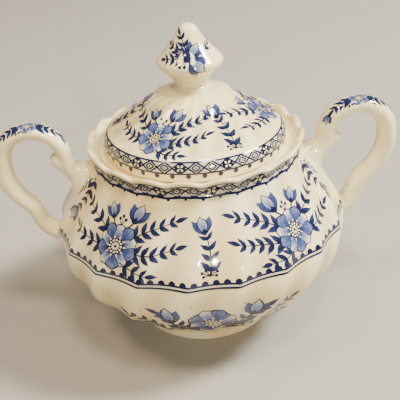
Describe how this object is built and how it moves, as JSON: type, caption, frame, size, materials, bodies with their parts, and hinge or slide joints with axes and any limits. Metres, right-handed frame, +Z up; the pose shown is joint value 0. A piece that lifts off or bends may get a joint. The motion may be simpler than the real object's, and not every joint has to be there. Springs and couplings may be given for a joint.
{
  "type": "covered sugar bowl",
  "caption": "Two-handled covered sugar bowl with a swirl-fluted round body, scalloped collar, scroll handles with spurs and a loose domed lid with a bell knob.",
  "frame": {"origin": "centre of the foot ring, on the plane that it stands on", "axes": "+Z up through the knob, +X through the right-hand handle, -Y towards the front panel"},
  "size_m": [0.1715, 0.1248, 0.1313],
  "materials": {
    "cream_glazed_earthenware": "glossy clear glaze over a warm cream body"
  },
  "bodies": {
    "bowl": {"bowl_body": "cream_glazed_earthenware", "handle_right": "cream_glazed_earthenware", "handle_left": "cream_glazed_earthenware"},
    "lid": {"lid": "cream_glazed_earthenware", "lid_knob": "cream_glazed_earthenware"}
  },
  "joints": [
    {"name": "lid_lift", "type": "slide", "parent": "bowl", "child": "lid", "axis": [0, 0, 1], "range_m": [0, 0.06]}
  ]
}
